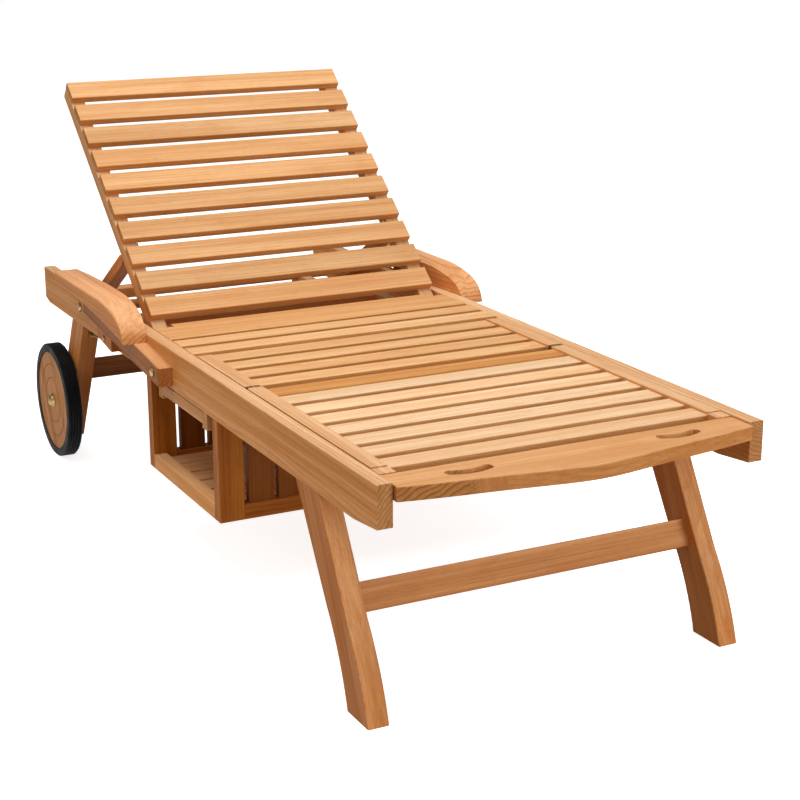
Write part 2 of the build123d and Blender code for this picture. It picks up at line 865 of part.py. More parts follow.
with BuildPart() as knee_rail:
    with BuildSketch(side_plane(-thigh_stile_inner)) as section:
        with Locations((knee_rail_back - knee_rail_width / 2, slat_top - foot_board_thickness / 2)):
            Rectangle(knee_rail_width, foot_board_thickness)
        fillet(section.vertices().group_by(Axis.Y)[-1], arm_bar_round)
    extrude(amount=2 * thigh_stile_inner)
finish(knee_rail.part, "knee_rail")

foot_steps = len(foot_board_bow_shares) - 1
foot_front = [
    (panel_half * (1 - 2 * step / foot_steps), -foot_board_side - foot_board_bow * share)
    for step, share in enumerate(foot_board_bow_shares)
]
hole_near = hand_hole_y - hand_hole_opening / 2
hole_far = hand_hole_y + hand_hole_opening / 2
with BuildPart() as foot_board:
    with BuildSketch(level_plane(slat_top - foot_board_thickness)):
        with BuildLine():
            Line((-panel_half, foot_board_back), (panel_half, foot_board_back))
            Line((panel_half, foot_board_back), foot_front[0])
            Spline(*foot_front)
            Line(foot_front[-1], (-panel_half, foot_board_back))
        make_face()
        for side in sides.values():
            middle = side * hand_hole_x
            left = middle - hand_hole_width / 2
            right = middle + hand_hole_width / 2
            with BuildLine():
                ThreePointArc((left, hole_near), (middle, hole_near - hand_hole_bow), (right, hole_near))
                ThreePointArc((right, hole_near), (right + hand_hole_opening / 2, hand_hole_y), (right, hole_far))
                ThreePointArc((right, hole_far), (middle, hole_far - hand_hole_bow), (left, hole_far))
                ThreePointArc((left, hole_far), (left - hand_hole_opening / 2, hand_hole_y), (left, hole_near))
            make_face(mode=Mode.SUBTRACT)
    extrude(amount=foot_board_thickness)
    front_edges = foot_board.faces().sort_by(Axis.Z)[-1].outer_wire().edges().sort_by(Axis.Y)
    fillet(front_edges[0], edge_round)
finish(foot_board.part, "foot_board")

# Knee hinges: brass leaves let into the stiles' ends, with knuckles between them
leaf_middle = panel_half - stile_width / 2
knuckle_share = 1 / 3

with BuildPart() as knee_hinges:
    for side in sides.values():
        with BuildSketch(side_plane(side * leaf_middle - leaf_width / 2)):
            with BuildLine():
                Polyline(*leaf_outline(1), close=True)
            make_face()
        extrude(amount=leaf_width)
        knuckle = leaf_width * knuckle_share - 2 * knuckle_gap
        with BuildSketch(side_plane(side * leaf_middle - knuckle / 2)):
            with Locations((knee_y, knuckle_z)):
                Circle(knuckle_radius)
            with Locations((knee_y + knee_clear / 2, rail_top - leaf_thickness / 2)):
                Rectangle(knee_clear, leaf_thickness)
        extrude(amount=knuckle)
        with BuildSketch(side_plane(side * leaf_middle - leaf_width / 2)):
            with Locations((knee_y, knuckle_z)):
                Circle(knuckle_bore)
        extrude(amount=leaf_width)
finish(knee_hinges.part, "knee_hinges")

with BuildPart() as knee_leaves:
    for side in sides.values():
        with BuildSketch(side_plane(side * leaf_middle - leaf_width / 2)):
            with BuildLine():
                Polyline(*leaf_outline(-1), close=True)
            make_face()
        extrude(amount=leaf_width)
        for end in (-1, 1):
            knuckle = leaf_width * knuckle_share
            start = side * leaf_middle + end * leaf_width / 2
            with BuildSketch(side_plane(start)):
                with Locations((knee_y, knuckle_z)):
                    Circle(knuckle_radius)
                with Locations((knee_y - knee_clear / 2, rail_top - leaf_thickness / 2)):
                    Rectangle(knee_clear, leaf_thickness)
                with Locations((knee_y, knuckle_z)):
                    Circle(knuckle_bore + hole_clearance, mode=Mode.SUBTRACT)
            extrude(amount=-end * knuckle)
finish(knee_leaves.part, "knee_leaves")

# Basket under the seat: slatted end panels, sills and a slatted floor
panel_bottom_rail_top = basket_bottom + basket_rail_height
inner_span = 2 * (half_width - basket_stile_width)
slat_step = basket_slat_width + basket_slat_gap
slat_count = int((inner_span - basket_slat_gap) // slat_step)
middle_z = (basket_bottom + rail_bottom) / 2
with BuildPart() as basket_ends:
    for face_y in (basket_foot, basket_head):
        front = Plane(origin=(0, face_y - middle_y, 0), x_dir=(1, 0, 0), z_dir=(0, -1, 0))
        with BuildSketch(front):
            with Locations(*[(side * (half_width - basket_stile_width / 2), middle_z) for side in sides.values()]):
                Rectangle(basket_stile_width, rail_bottom - basket_bottom)
            with Locations(
                (0, basket_bottom + basket_rail_height / 2),
                (0, rail_bottom - basket_rail_height / 2),
            ):
                Rectangle(inner_span, basket_rail_height)
        extrude(amount=-basket_panel_thickness)
        with BuildSketch(front.offset(-(basket_panel_thickness - basket_slat_thickness) / 2)):
            with GridLocations(slat_step, 0, slat_count, 1):
                with Locations((0, middle_z)):
                    Rectangle(basket_slat_width, rail_bottom - basket_bottom - 2 * basket_rail_height)
        extrude(amount=-basket_slat_thickness)
finish(basket_ends.part, "basket_ends")

sill_front = basket_foot + basket_panel_thickness
sill_length = basket_head - sill_front
floor_pitch = (sill_length + floor_slat_gap) / floor_slats
with BuildPart() as basket_floor:
    for side in sides.values():
        with BuildSketch(side_plane(side * (half_width - basket_sill_thickness))):
            with Locations((sill_front + sill_length / 2, basket_bottom + basket_rail_height / 2)):
                Rectangle(sill_length, basket_rail_height)
        extrude(amount=side * basket_sill_thickness)
    for count in range(floor_slats):
        start = sill_front + count * floor_pitch
        floor_width = floor_pitch - floor_slat_gap
        with BuildSketch(side_plane(-half_width + basket_sill_thickness)):
            with Locations((start + floor_width / 2, basket_bottom + floor_slat_rise + floor_slat_thickness / 2)):
                Rectangle(floor_width, floor_slat_thickness)
        extrude(amount=2 * (half_width - basket_sill_thickness))
finish(basket_floor.part, "basket_floor")

# Runners under the rails and the tray that slides out between them
tray_bottom = tray_top - tray_thickness
runner_bottom = tray_bottom - runner_gap - runner_foot_height
with BuildPart() as tray_runners:
    for toward, edge in ((1, tray_foot - runner_gap), (-1, tray_head + runner_gap)):
        with BuildSketch(side_plane(-half_width)):
            with BuildLine():
                Polyline(
                    (edge - toward * runner_thickness, rail_bottom),
                    (edge, rail_bottom),
                    (edge, tray_bottom - runner_gap),
                    (edge + toward * runner_foot, tray_bottom - runner_gap),
                    (edge + toward * runner_foot, runner_bottom),
                    (edge - toward * runner_thickness, runner_bottom),
                    close=True,
                )
            make_face()
        extrude(amount=2 * half_width)
finish(tray_runners.part, "tray_runners")

with BuildPart() as tray:
    with BuildSketch(side_plane(-half_width)):
        with Locations(((tray_foot + tray_head) / 2, tray_top - tray_thickness / 2)):
            Rectangle(tray_head - tray_foot, tray_thickness)
    extrude(amount=tray_length)
    with BuildSketch(level_plane(tray_top)):
        with Locations((-half_width + tray_length / 2, (tray_foot + tray_head) / 2)):
            Rectangle(tray_length - 2 * tray_rim_width, tray_head - tray_foot - 2 * tray_rim_width)
    extrude(amount=-tray_recess, mode=Mode.SUBTRACT)
finish(tray.part, "tray")

# Pins, bolts and screws in the frame: the hinge pins of the backrest and the thigh
# panel, the bolts of the bars and rear legs, the block screws and the hooks' fittings
bolt_y = arm_bar_front + arm_bar_front_height
bolt_z = (arm_bar_front_top + bar_front_bottom) / 2 + bar_slope * (bolt_y - arm_bar_front)
screw_y = (arm_block_front + arm_block_rear) / 2
screw_z = (arm_block_front_bottom + arm_block_rear_bottom + 2 * bar_bottom(screw_y)) / 4
leg_bolt_y = rear_leg_top_y - rail_height / 2 * sin(rear_lean) / cos(rear_lean)
leg_bolt_z = rail_bottom + rail_height / 2
pin_end = rail_inner + hinge_pin_depth
bar_face = half_width + arm_bar_thickness


def leg_face(z):
    """The place along Y of the rear leg's face towards the foot, at height z."""
    return rear_leg_top_y - rear_half + (rail_bottom - z) * sin(rear_lean) / cos(rear_lean)


hook_half = hook_width / 2 + hook_ear_gap + hook_ear
pegs = [
    (back_half - back_stile_width, pin_end, back_hinge_y, back_hinge_z, hinge_pin_radius),
    (thigh_stile_inner, pin_end, thigh_hinge_y, thigh_hinge_z, hinge_pin_radius),
    (bar_face, bar_face + bolt_head_height, bolt_y, bolt_z, bolt_head_radius),
    (bar_face, bar_face + screw_head_height, screw_y, screw_z, screw_head_radius),
    (half_width, half_width + bolt_head_height, leg_bolt_y, leg_bolt_z, bolt_head_radius),
    (hook_x - hook_half, hook_x + hook_half, hook_eye_y, hook_eye_z, hook_pin_radius),
]
with BuildPart() as frame_bolts:
    for side in sides.values():
        for start_x, end_x, peg_y, peg_z, radius in pegs:
            with BuildSketch(side_plane(side * start_x)):
                with Locations((peg_y, peg_z)):
                    Circle(radius)
            extrude(amount=side * (end_x - start_x))
        for end in (-1, 1):
            with BuildSketch(side_plane(side * hook_x + end * hook_half)):
                with BuildLine():
                    upper = hook_eye_z + hook_ear_height / 2
                    lower = hook_eye_z - hook_ear_height / 2
                    nose = hook_eye_y - hook_ear_height / 2
                    Polyline(
                        (nose, upper),
                        (leg_face(upper), upper),
                        (leg_face(lower), lower),
                        (nose, lower),
                        close=True,
                    )
                make_face()
            extrude(amount=-end * hook_ear)
        with BuildSketch(level_plane(hook_tip_z + hook_ring_rise)):
            with Locations((side * hook_x, hook_tip_y)):
                Circle(hook_ring_radius)
                Circle(hook_ring_hole, mode=Mode.SUBTRACT)
        extrude(amount=hook_ring_thickness)
        with BuildSketch(level_plane(hook_tip_z + hook_ring_rise)):
            with Locations((side * hook_x, hook_tip_y - (hook_ring_radius + hook_ring_hole) / 2)):
                Circle((hook_ring_radius - hook_ring_hole) / 2)
        extrude(amount=rail_bottom - hook_tip_z - hook_ring_rise)
finish(frame_bolts.part, "frame_bolts")

# Hooks that hold the rear legs: an eye on its pin, a rod and a tip up through a ring
for name, side in sides.items():
    with BuildPart() as hook:
        with BuildSketch(side_plane(side * hook_x - hook_width / 2)) as outline:
            with Locations((hook_eye_y, hook_eye_z)):
                Circle(hook_eye_radius)
            with BuildLine():
                Polyline(
                    (hook_eye_y, hook_eye_z + hook_width / 2),
                    (hook_eye_y, hook_eye_z - hook_width / 2),
                    (hook_tip_y - hook_width / 2, hook_tip_z - hook_width / 2),
                    (hook_tip_y - hook_width / 2, hook_tip_z + hook_width / 2),
                    close=True,
                )
            make_face()
            with Locations((hook_eye_y, hook_eye_z)):
                Circle(hook_pin_radius + hole_clearance, mode=Mode.SUBTRACT)
        extrude(amount=hook_width)
        with BuildSketch(level_plane(hook_tip_z)):
            with Locations((side * hook_x, hook_tip_y)):
                Circle(hook_tip_radius)
        extrude(amount=hook_tip_height)
    finish(hook.part, f"hook_{name}")
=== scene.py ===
import math

import bmesh
import bpy
from mathutils import Matrix, Vector


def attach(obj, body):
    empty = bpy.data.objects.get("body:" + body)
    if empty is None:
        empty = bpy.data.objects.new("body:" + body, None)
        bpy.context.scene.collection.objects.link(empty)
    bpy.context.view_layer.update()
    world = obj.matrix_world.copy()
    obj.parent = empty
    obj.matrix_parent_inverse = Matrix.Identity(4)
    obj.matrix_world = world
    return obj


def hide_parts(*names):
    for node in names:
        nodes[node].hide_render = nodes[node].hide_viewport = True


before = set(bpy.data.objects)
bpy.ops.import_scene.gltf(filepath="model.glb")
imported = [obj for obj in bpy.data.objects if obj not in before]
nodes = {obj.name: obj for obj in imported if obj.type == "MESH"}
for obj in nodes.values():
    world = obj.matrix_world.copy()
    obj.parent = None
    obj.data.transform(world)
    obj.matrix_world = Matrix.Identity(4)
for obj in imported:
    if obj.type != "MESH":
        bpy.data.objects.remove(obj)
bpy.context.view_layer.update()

across, lengthwise, upright = (1, 0, 0), (0, 1, 0), (0, 0, 1)


# Shader helpers

class Graph:
    """Short names for making and joining the shader nodes of one material or world."""

    def __init__(self, owner):
        owner.use_nodes = True
        self.tree = owner.node_tree
        self.tree.nodes.clear()

    def node(self, kind, settings=None, **inputs):
        """A new node. An input called i0, i1 and so on goes by its number, any other by its name."""
        made = self.tree.nodes.new(kind)
        for key, value in (settings or {}).items():
            setattr(made, key, value)
        for key, value in inputs.items():
            numbered = key[0] == "i" and key[1:].isdigit()
            socket = made.inputs[int(key[1:]) if numbered else key.replace("_", " ")]
            if isinstance(value, bpy.types.NodeSocket):
                self.tree.links.new(value, socket)
            else:
                socket.default_value = value
        return made

    def math(self, operation, a, b=0.0):
        return self.node("ShaderNodeMath", {"operation": operation}, i0=a, i1=b).outputs[0]

    def vector(self, operation, a, b):
        made = self.node("ShaderNodeVectorMath", {"operation": operation}, i0=a, i1=b)
        return made.outputs["Value" if operation == "DOT_PRODUCT" else 0]

    def place(self):
        return self.node("ShaderNodeTexCoord").outputs["Object"]

    def towards(self, direction):
        """1 on faces that look in the direction, 0 on faces beside it and -1 on opposite ones."""
        normal = self.node("ShaderNodeTexCoord").outputs["Normal"]
        return self.vector("DOT_PRODUCT", normal, tuple(Vector(direction).normalized()))

    def facing(self, direction):
        """As towards, but opposite faces give 1 too."""
        return self.math("ABSOLUTE", self.towards(direction))

    def noise(self, place, scale, detail=2.0, roughness=0.5):
        made = self.node("ShaderNodeTexNoise", None, Vector=place, Scale=scale, Detail=detail,
                         Roughness=roughness)
        return made.outputs["Fac"]

    def marks(self, place, stretch, detail, roughness):
        """Noise whose grains are one over each factor of stretch long."""
        return self.noise(self.vector("MULTIPLY", place, stretch), 1.0, detail, roughness)

    def span(self, value, low, high, to_low=0.0, to_high=1.0, smooth=True):
        """to_low where value is below low, to_high where it is above high, and a passage between."""
        kind = "SMOOTHSTEP" if smooth else "LINEAR"
        made = self.node("ShaderNodeMapRange", {"interpolation_type": kind}, Value=value,
                         From_Min=low, From_Max=high, To_Min=to_low, To_Max=to_high)
        return made.outputs["Result"]

    def mix(self, share, a, b, blend="MIX"):
        settings = {"data_type": "RGBA", "blend_type": blend}
        return self.node("ShaderNodeMix", settings, i0=share, i6=a, i7=b).outputs[2]

    def mix_vector(self, share, a, b):
        return self.node("ShaderNodeMix", {"data_type": "VECTOR"}, i0=share, i4=a, i5=b).outputs[1]

    def mix_value(self, share, a, b):
        return self.node("ShaderNodeMix", {"data_type": "FLOAT"}, i0=share, i2=a, i3=b).outputs[0]

    def gap(self, value, middle):
        return self.math("ABSOLUTE", self.math("SUBTRACT", value, middle))

    def near(self, value, middle, reach):
        """1 where value is within reach of middle, else 0."""
        return self.math("LESS_THAN", self.gap(value, middle), reach)

    def line(self, value, edge):
        """A line half a millimetre wide on each side of the place where value passes edge."""
        return self.span(self.gap(value, edge), 0.0, 0.0005, 1.0, 0.0)

    def surface(self, tone, roughness, height, strength, distance, **constants):
        """The visible surface, with bumps from height. constants are further inputs of it."""
        bump = self.node("ShaderNodeBump", None, Height=height, Strength=strength, Distance=distance)
        made = self.node("ShaderNodeBsdfPrincipled", None, Base_Color=tone, Roughness=roughness,
                         Normal=bump.outputs[0], **constants)
        self.node("ShaderNodeOutputMaterial", None, Surface=made.outputs[0])


def colour(red, green, blue):
    """Linear colour from display values of 0 to 255."""
    def one(value):
        value = value / 255
        return value / 12.92 if value <= 0.04045 else ((value + 0.055) / 1.055) ** 2.4
    return (one(red), one(green), one(blue), 1.0)


def tinted(tone, red, green, blue):
    """The colour with a factor on each of its parts, none above 1."""
    return (min(1.0, tone[0] * red), min(1.0, tone[1] * green), min(1.0, tone[2] * blue), 1.0)


# Teak. Each kind of mark is drawn out along the grain, which is the first of its three factors.

RINGS = (0.13, 1, 1)
CLOUDS = (0.5, 1, 1)
STREAKS = (1.3, 40.0, 40.0)
LINES = (2.6, 200.0, 200.0)
DARK_LINES = (1.1, 260.0, 260.0)
FIBRES = (7.0, 560.0, 560.0)
PORES = (50.0, 1100.0, 1100.0)
RING_SCALE = 46.0         # rings about 7 mm wide
RING_SHARPNESS = 2.8
RING_SWAY = (0.0, 0.09, 0.09)
PLAIN_FIGURE, BOLD_FIGURE = 0.85, 1.4
END_SHADE, SLAT_END_SHADE = 0.24, 0.08
CROSS_SEED = 3.1          # sets the crossed stretches of a piece apart from the rest of it


def along(g, place, direction, seed):
    """Coordinates whose first axis follows the grain, with a place of its own for each piece."""
    turn = Vector(direction).normalized().rotation_difference(Vector((1, 0, 0))).to_euler()
    heart = (seed * 1.37, 0.11 + (seed * 0.619) % 0.23, 0.05 + (seed * 0.377) % 0.19)
    made = g.node("ShaderNodeMapping", None, Vector=place, Rotation=tuple(turn), Location=heart)
    return made.outputs[0]


def growth_rings(g, drawn, end_grain):
    """The late wood of growth rings round a heart outside the board, in zones but for the ends."""
    sway = g.node("ShaderNodeTexNoise", None, Vector=drawn, Scale=6.0, Detail=3.0, Roughness=0.5)
    sway = g.vector("SUBTRACT", sway.outputs["Color"], (0.5, 0.5, 0.5))
    bent = g.vector("ADD", drawn, g.vector("MULTIPLY", sway, RING_SWAY))
    shape = {"wave_type": "RINGS", "rings_direction": "X", "wave_profile": "SAW"}
    rings = g.node("ShaderNodeTexWave", shape, Vector=bent, Scale=RING_SCALE, Distortion=1.3,
                   Detail=3.0, Detail_Scale=2.4, Detail_Roughness=0.6)
    late_wood = g.span(rings.outputs["Fac"], 0.30, 1.0, smooth=False)
    zones = g.span(g.noise(drawn, 8.0, 1.0), 0.36, 0.62, 0.22, 1.0)
    late_wood = g.math("POWER", late_wood, RING_SHARPNESS)
    return g.math("MULTIPLY", late_wood, g.mix_value(end_grain, zones, 1.0))


def teak(name, direction, seed, tones, cross=None, cross_direction=across, figure=PLAIN_FIGURE,
         ends=END_SHADE, arcs=0.45, painted_side_light=1.0, patch=None):
    """Solid teak whose grain follows direction, between the light and the dark one of its tones.
    Where cross is given, it makes a mask of the stretches whose grain follows cross_direction, and
    a line where the two meet. figure is the strength of the growth rings, ends how much the end
    grain darkens, arcs the strength of the rings on it, and painted_side_light the factor of painted
    light on the faces to the left and right, which paints shade where it is below 1. patch is a mask
    of a stretch of the piece, with the factors of its colour there; it paints light on the hand
    holes' walls and shade on the basket's slats."""
    light, dark = tones
    material = bpy.data.materials.new(name)
    g = Graph(material)
    place = g.place()
    grain = along(g, place, direction, seed)
    facing = g.facing(direction)
    joint = None
    if cross:
        mask, joint = cross(g, place)
        grain = g.mix_vector(mask, grain, along(g, place, cross_direction, seed + CROSS_SEED))
        facing = g.mix_value(mask, facing, g.facing(cross_direction))
    end_grain = g.span(facing, 0.72, 0.92)

    drawn = g.vector("MULTIPLY", grain, RINGS)
    late_wood = growth_rings(g, drawn, end_grain)
    patches = g.noise(drawn, 3.4, 2.0, 0.5)
    clouds = g.noise(g.vector("MULTIPLY", grain, CLOUDS), 16.0, 3.0, 0.6)
    streaks = g.marks(grain, STREAKS, 3.0, 0.55)
    lines = g.marks(grain, LINES, 3.0, 0.6)
    dark_lines = g.span(g.marks(grain, DARK_LINES, 2.0, 0.6), 0.64, 0.70)
    fibres = g.marks(grain, FIBRES, 4.0, 0.62)
    pores = g.span(g.marks(grain, PORES, 2.0, 0.5), 0.58, 0.70)

    pale = tinted(light, 1.08, 1.10, 1.16)
    warm = tinted(dark, 0.98, 0.80, 0.62)
    layers = [
        (g.span(streaks, 0.28, 0.72), dark),
        (g.span(patches, 0.54, 0.72, 0.0, 0.70), pale),
        (g.span(clouds, 0.52, 0.74, 0.0, 0.40), warm),
        (g.math("MULTIPLY", late_wood, min(figure, 1.0)), warm),
        (g.math("MULTIPLY", late_wood, max(figure - 1.0, 0.0)), tinted(dark, 0.50, 0.36, 0.26)),
        (g.span(lines, 0.50, 0.66, 0.0, 0.44), warm),
        (g.span(lines, 0.32, 0.46, 0.30, 0.0), pale),
        (g.span(fibres, 0.48, 0.66, 0.0, 0.34), warm),
        (g.math("MULTIPLY", dark_lines, 0.40), tinted(dark, 0.66, 0.50, 0.36)),
        (g.math("MULTIPLY", pores, 0.30), tinted(dark, 0.42, 0.34, 0.26)),
    ]
    tone = light
    for share, layer in layers:
        tone = g.mix(share, tone, layer)

    # painted shade: faces that don't look up get a deeper, more saturated copy of the tone, while faces
    # that look up keep the plain one
    painted_shade_tone = g.mix(1.0, tone, (1.02, 0.84, 0.58, 1.0), "MULTIPLY")
    # painted light on the faces to the left and right, by the factor painted_side_light; below 1 it
    # paints shade
    if painted_side_light != 1.0:
        painted_side_tone = g.mix(1.0, painted_shade_tone, (painted_side_light, painted_side_light * 0.90, painted_side_light * 0.72, 1.0), "MULTIPLY")
        painted_shade_tone = g.mix(g.span(g.facing(across), 0.5, 0.8), painted_shade_tone, painted_side_tone)
    tone = g.mix(g.span(g.towards(upright), 0.2, 0.7), painted_shade_tone, tone)
    if patch:
        patch_mask, factors = patch
        tone = g.mix(patch_mask(g, place), tone, g.mix(1.0, tone, (*factors, 1.0), "MULTIPLY"))
    tone = g.mix(g.math("MULTIPLY", end_grain, ends), tone, tinted(dark, 0.66, 0.55, 0.42))
    end_rings = g.math("MULTIPLY", g.math("MULTIPLY", end_grain, late_wood), arcs)
    tone = g.mix(end_rings, tone, tinted(dark, 0.40, 0.28, 0.18))
    if joint is not None:
        tone = g.mix(g.math("MULTIPLY", joint, 0.75), tone, tinted(dark, 0.25, 0.18, 0.12))

    gloss = g.math("ADD", g.span(streaks, 0.3, 0.7, 0.52, 0.66), g.math("MULTIPLY", end_grain, 0.18))
    height = g.math("MULTIPLY", fibres, 0.6)
    for mark, depth in ((pores, -0.7), (late_wood, 0.35), (lines, -0.4)):
        height = g.math("ADD", height, g.math("MULTIPLY", mark, depth))
    g.surface(tone, gloss, height, 0.22, 0.0006, Specular_IOR_Level=0.14)
    return material


# Brass, rubber and the painted shade of a counterbore

def brass(name, light, dark, wear):
    """Brass with tarnish in blotches and fine scratches."""
    material = bpy.data.materials.new(name)
    g = Graph(material)
    blotch = g.noise(g.place(), 90.0, 3.0, 0.6)
    fine = g.noise(g.place(), 900.0, 2.0, 0.6)
    tone = g.mix(g.span(blotch, 0.40, 0.66), light, dark)
    tone = g.mix(g.span(fine, 0.55, 0.75, 0.0, wear), tone, tinted(dark, 0.4, 0.35, 0.3))
    g.surface(tone, g.span(blotch, 0.35, 0.7, 0.30, 0.52), fine, 0.12, 0.0002, Metallic=1.0)
    return material


def rubber(name):
    """Black rubber with a fine pebble and a little dust."""
    material = bpy.data.materials.new(name)
    g = Graph(material)
    place = g.place()
    pebble = g.noise(place, 1400.0, 2.0, 0.6)
    dust = g.noise(place, 26.0, 4.0, 0.62)
    scuff = g.marks(place, (240.0, 30.0, 30.0), 3.0, 0.6)
    black, dusty = (0.004, 0.0035, 0.004, 1.0), (0.013, 0.012, 0.011, 1.0)
    tone = g.mix(g.span(dust, 0.52, 0.78, 0.0, 0.5), black, dusty)
    tone = g.mix(g.span(scuff, 0.60, 0.74, 0.0, 0.30), tone, (0.045, 0.042, 0.040, 1.0))
    g.surface(tone, g.span(dust, 0.3, 0.7, 0.55, 0.75), pebble, 0.25, 0.0003, Specular_IOR_Level=0.12)
    return material


def painted_bore_shade(name):
    """Painted shade: a dark, rough ring round a sunk bolt, standing in for the shade in its counterbore.
    """
    material = bpy.data.materials.new(name)
    g = Graph(material)
    grit = g.noise(g.place(), 700.0, 3.0, 0.6)
    tone = g.mix(g.span(grit, 0.4, 0.6), (0.085, 0.040, 0.018, 1.0), (0.150, 0.075, 0.034, 1.0))
    g.surface(tone, 0.85, grit, 0.4, 0.0004)
    return material


# Stretches of a piece with another grain, painted light or painted shade, in metres from the middle

BASKET_STILES = 0.302                               # the inner faces of the stiles
BASKET_MIDDLE, BASKET_REACH = 0.23375, 0.06775      # height half way between the level rails
BASKET_SILLS = 0.324                                # the inner faces of the sills
TRAY_MIDDLE, TRAY_RIMS = -0.14, 0.184               # the short rims' inner faces, from its middle
HAND_HOLE_X, HAND_HOLE_REACH_X = 0.190, 0.036
HAND_HOLE_Y, HAND_HOLE_REACH_Y = -0.817, 0.016
FULL_RINGS, NO_RINGS = -0.215, -0.150               # where the foot board's rings start to fade, and end


def parts_of(g, place):
    return g.node("ShaderNodeSeparateXYZ", None, Vector=place).outputs


def from_middle(g, place):
    return g.math("ABSOLUTE", parts_of(g, place)[0])


def basket_end_mask(g, place):
    """The level rails of the basket's end panels, between their stiles."""
    side = from_middle(g, place)
    inside = g.math("LESS_THAN", side, BASKET_STILES)
    beyond = g.math("SUBTRACT", 1.0, g.near(parts_of(g, place)[2], BASKET_MIDDLE, BASKET_REACH))
    joint = g.math("MULTIPLY", g.line(side, BASKET_STILES), beyond)
    return g.math("MULTIPLY", inside, beyond), joint


def basket_slat_painted_shade(g, place):
    """Painted shade on the upright slats of the basket's end panels, which stand in shadow beneath the
    seat.
    """
    middle = g.near(parts_of(g, place)[2], BASKET_MIDDLE, BASKET_REACH)
    return g.math("MULTIPLY", g.math("LESS_THAN", from_middle(g, place), BASKET_STILES), middle)


def basket_floor_mask(g, place):
    """The floor's slats, between the sills."""
    side = from_middle(g, place)
    return g.math("LESS_THAN", side, BASKET_SILLS), g.line(side, BASKET_SILLS)


def tray_mask(g, place):
    """The short rims of the tray."""
    side = g.gap(parts_of(g, place)[0], TRAY_MIDDLE)
    return g.math("GREATER_THAN", side, TRAY_RIMS), g.line(side, TRAY_RIMS)


def foot_board_mask(g, place):
    """The left end of the foot board's front, where the growth rings come out of the board."""
    frontwards = g.span(g.towards((0, -1, 0)), 0.5, 0.8)
    left_end = g.span(parts_of(g, place)[0], FULL_RINGS, NO_RINGS, 1.0, 0.0)
    return g.math("MULTIPLY", frontwards, left_end), None


def hand_hole_painted_light(g, place):
    """Painted light on the walls of the two hand holes, which lie in shade."""
    near = g.math("MULTIPLY", g.near(from_middle(g, place), HAND_HOLE_X, HAND_HOLE_REACH_X),
                  g.near(parts_of(g, place)[1], HAND_HOLE_Y, HAND_HOLE_REACH_Y))
    return g.math("MULTIPLY", near, g.math("LESS_THAN", g.facing(upright), 0.6))


# Tones of the boards, light and dark: new teak, paler on the slats. The browner, more saturated
# tones of the legs and of the parts under the seat are painted shade, and the basket floor's pale tone
# painted light

honey = (colour(223, 181, 138), colour(199, 151, 106))
leg_slat_tone = (colour(238, 205, 166), colour(221, 179, 134))
thigh_slat_tone = (colour(230, 185, 134), colour(210, 160, 108))
back_slat_tone = (colour(218, 172, 122), colour(196, 144, 94))
seat_tone = (colour(216, 166, 112), colour(196, 142, 90))
warm_tone = (colour(216, 156, 94), colour(192, 129, 70))
knee_tone = (colour(214, 157, 95), colour(187, 127, 67))
# painted shade: a more saturated teak, as teak looks in shade, for the legs and the rails among them
shaded_leg_tone = (colour(236, 178, 124), colour(206, 144, 92))
bar_tone = (colour(214, 158, 108), colour(186, 129, 80))
# painted shade: darker tones for the rear stretcher and the basket's end panels under the seat
under_seat_shade_tone = (colour(158, 104, 48), colour(122, 74, 30))
basket_shade_tone = (colour(196, 130, 58), colour(158, 98, 36))
# painted light: a paler tone that lifts the basket's floor out of the shade under the seat
basket_floor_light_tone = (colour(250, 204, 150), colour(230, 174, 118))
disc_tone = (colour(206, 154, 98), colour(180, 126, 74))
block_tone = (colour(238, 206, 168), colour(222, 184, 142))
armrest_tone = (colour(230, 175, 126), colour(206, 147, 98))
foot_board_tone = (colour(218, 166, 116), colour(198, 144, 92))

SEED_STEP = 1.618         # keeps the seeds of two pieces well apart
back_slope, prop_slope = math.radians(39.7), math.radians(31.4)
up_back = (0, math.cos(back_slope), math.sin(back_slope))
down_prop = (0, math.cos(prop_slope), -math.sin(prop_slope))
# painted_side_light paints light on the rails' side faces; below 1, on the legs and arm bars, it paints
# shade
rail = {"figure": BOLD_FIGURE, "painted_side_light": 1.10}

